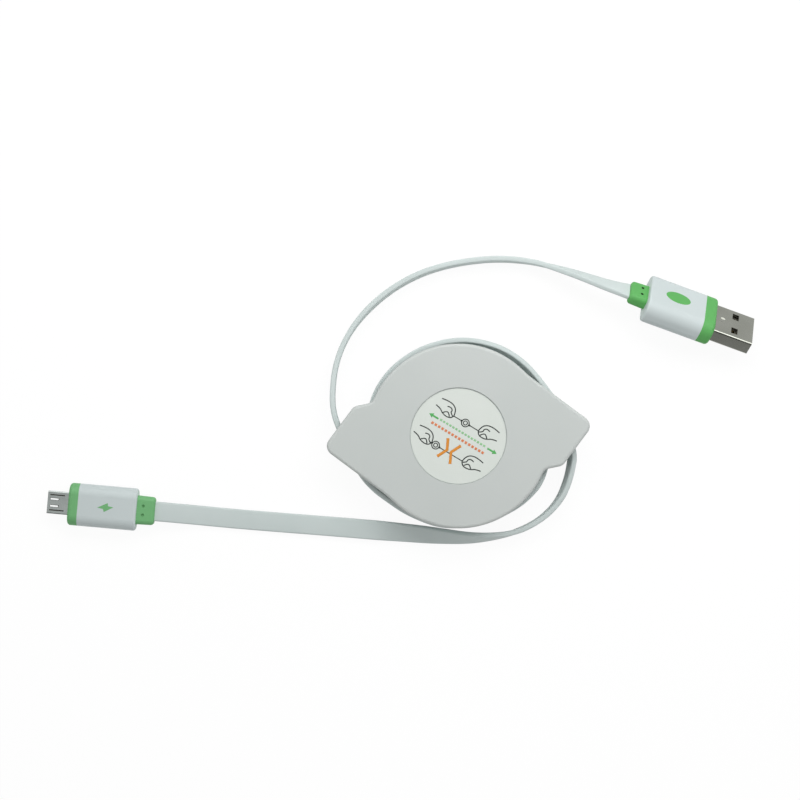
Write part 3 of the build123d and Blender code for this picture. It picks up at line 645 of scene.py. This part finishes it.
def placeCamera():
    cameraData = bpy.data.cameras.new("photoCamera")
    cameraData.lens = photoView["lens"]
    cameraData.sensor_width = photoView["sensor"]
    cameraData.clip_start = photoView["clipStart"]
    camera = bpy.data.objects.new("photoCamera", cameraData)
    bpy.context.scene.collection.objects.link(camera)
    camera.location = Vector(photoView["place"]) * mm
    camera.rotation_euler = (0, 0, math.radians(photoView["turn"]))
    bpy.context.scene.camera = camera


placeCamera()


# floor and sky: both look white, and the light that they throw on the part is set by itself

floorLook = {"size": 6.0, "level": -0.00002, "bounce": 0.80, "shadowShare": 0.09, "glow": 0.93}
skyLook = {"ambient": 0.47, "white": 1.0}


def whiteRays(tree):
    # 1 for what the camera, a mirror or glass sees of the background
    path = tree.nodes.new("ShaderNodeLightPath")
    first = tree.nodes.new("ShaderNodeMath")
    first.operation = "MAXIMUM"
    second = tree.nodes.new("ShaderNodeMath")
    second.operation = "MAXIMUM"
    tree.links.new(path.outputs["Is Camera Ray"], first.inputs[0])
    tree.links.new(path.outputs["Is Glossy Ray"], first.inputs[1])
    tree.links.new(first.outputs["Value"], second.inputs[0])
    tree.links.new(path.outputs["Is Transmission Ray"], second.inputs[1])
    return second.outputs["Value"]


def addDiffuse(tree, tone):
    diffuse = tree.nodes.new("ShaderNodeBsdfDiffuse")
    diffuse.inputs["Color"].default_value = (tone, tone, tone, 1)
    return diffuse.outputs["BSDF"]


def layFloor():
    bpy.ops.object.select_all(action="DESELECT")
    bpy.ops.mesh.primitive_plane_add(size=floorLook["size"], location=(0, 0, floorLook["level"]))
    floor = bpy.context.object
    floor.name = "floor"
    finish, tree, bsdf = newFinish("floorWhite")
    tree.nodes.remove(bsdf)
    bounce = addDiffuse(tree, floorLook["bounce"])
    shadow = addDiffuse(tree, floorLook["shadowShare"])
    glow = tree.nodes.new("ShaderNodeEmission")
    glow.inputs["Strength"].default_value = floorLook["glow"]
    seen = tree.nodes.new("ShaderNodeAddShader")
    choice = tree.nodes.new("ShaderNodeMixShader")
    tree.links.new(shadow, seen.inputs[0])
    tree.links.new(glow.outputs["Emission"], seen.inputs[1])
    tree.links.new(whiteRays(tree), choice.inputs["Fac"])
    tree.links.new(bounce, choice.inputs[1])
    tree.links.new(seen.outputs["Shader"], choice.inputs[2])
    tree.links.new(choice.outputs["Shader"], tree.nodes["Material Output"].inputs["Surface"])
    floor.data.materials.append(finish)


def lightSky():
    sky = bpy.data.worlds.new("studioSky")
    bpy.context.scene.world = sky
    sky.use_nodes = True
    tree = sky.node_tree
    background = tree.nodes["Background"]
    background.inputs["Color"].default_value = (1, 1, 1, 1)
    level = tree.nodes.new("ShaderNodeMapRange")
    level.inputs["To Min"].default_value = skyLook["ambient"]
    level.inputs["To Max"].default_value = skyLook["white"]
    tree.links.new(whiteRays(tree), level.inputs["Value"])
    tree.links.new(level.outputs["Result"], background.inputs["Strength"])


layFloor()
lightSky()


# cards that only mirrors see: grey to dark on the near side, bright on the far side

mirrorCards = {
    "darkCard": {
        "middle": -0.12, "width": 0.6, "foot": (-0.42, 0.0), "head": (-0.15, 0.85),
        "lowTone": 0.70, "highTone": 0.10, "toneFrom": 0.03, "toneTo": 0.09,
    },
    "brightCard": {
        "middle": 0.1, "width": 1.4, "foot": (0.50, 0.15), "head": (0.15, 0.80),
        "lowTone": 3.0, "highTone": 2.7, "toneFrom": 0.15, "toneTo": 0.80,
    },
}


def standCard(name, card):
    bpy.ops.object.select_all(action="DESELECT")
    bpy.ops.mesh.primitive_plane_add(size=1)
    piece = bpy.context.object
    piece.name = name
    for vertex in piece.data.vertices:
        depth, height = card["foot"] if vertex.co.y < 0 else card["head"]
        vertex.co = (card["middle"] + vertex.co.x * card["width"], depth, height)
    finish, tree, bsdf = newFinish(name)
    tree.nodes.remove(bsdf)
    coords = tree.nodes.new("ShaderNodeTexCoord")
    parts = tree.nodes.new("ShaderNodeSeparateXYZ")
    tone = tree.nodes.new("ShaderNodeMapRange")
    tone.inputs["From Min"].default_value = card["toneFrom"]
    tone.inputs["From Max"].default_value = card["toneTo"]
    tone.inputs["To Min"].default_value = card["lowTone"]
    tone.inputs["To Max"].default_value = card["highTone"]
    glow = tree.nodes.new("ShaderNodeEmission")
    tree.links.new(coords.outputs["Object"], parts.inputs["Vector"])
    tree.links.new(parts.outputs["Z"], tone.inputs["Value"])
    tree.links.new(tone.outputs["Result"], glow.inputs["Strength"])
    tree.links.new(glow.outputs["Emission"], tree.nodes["Material Output"].inputs["Surface"])
    piece.data.materials.append(finish)
    piece.visible_camera = False
    piece.visible_diffuse = False
    piece.visible_shadow = False


for cardName, card in mirrorCards.items():
    standCard(cardName, card)


# soft box above the far side

softBox = {
    "place": (0.05, 0.18, 0.25), "aim": (-0.01, 0.0, 0.0), "length": 0.4, "depth": 0.14, "power": 0.60,
}


def hangSoftBox(name):
    lampData = bpy.data.lights.new(name, "AREA")
    lampData.shape = "RECTANGLE"
    lampData.size = softBox["length"]
    lampData.size_y = softBox["depth"]
    lampData.energy = softBox["power"]
    lamp = bpy.data.objects.new(name, lampData)
    bpy.context.scene.collection.objects.link(lamp)
    lamp.location = softBox["place"]
    direction = Vector(softBox["aim"]) - Vector(softBox["place"])
    lamp.rotation_euler = direction.to_track_quat("-Z", "Y").to_euler()
    lamp.visible_camera = False


hangSoftBox("topSoftBox")
bpy.context.scene.view_settings.view_transform = "Standard"
print("camera, floor and light placed")
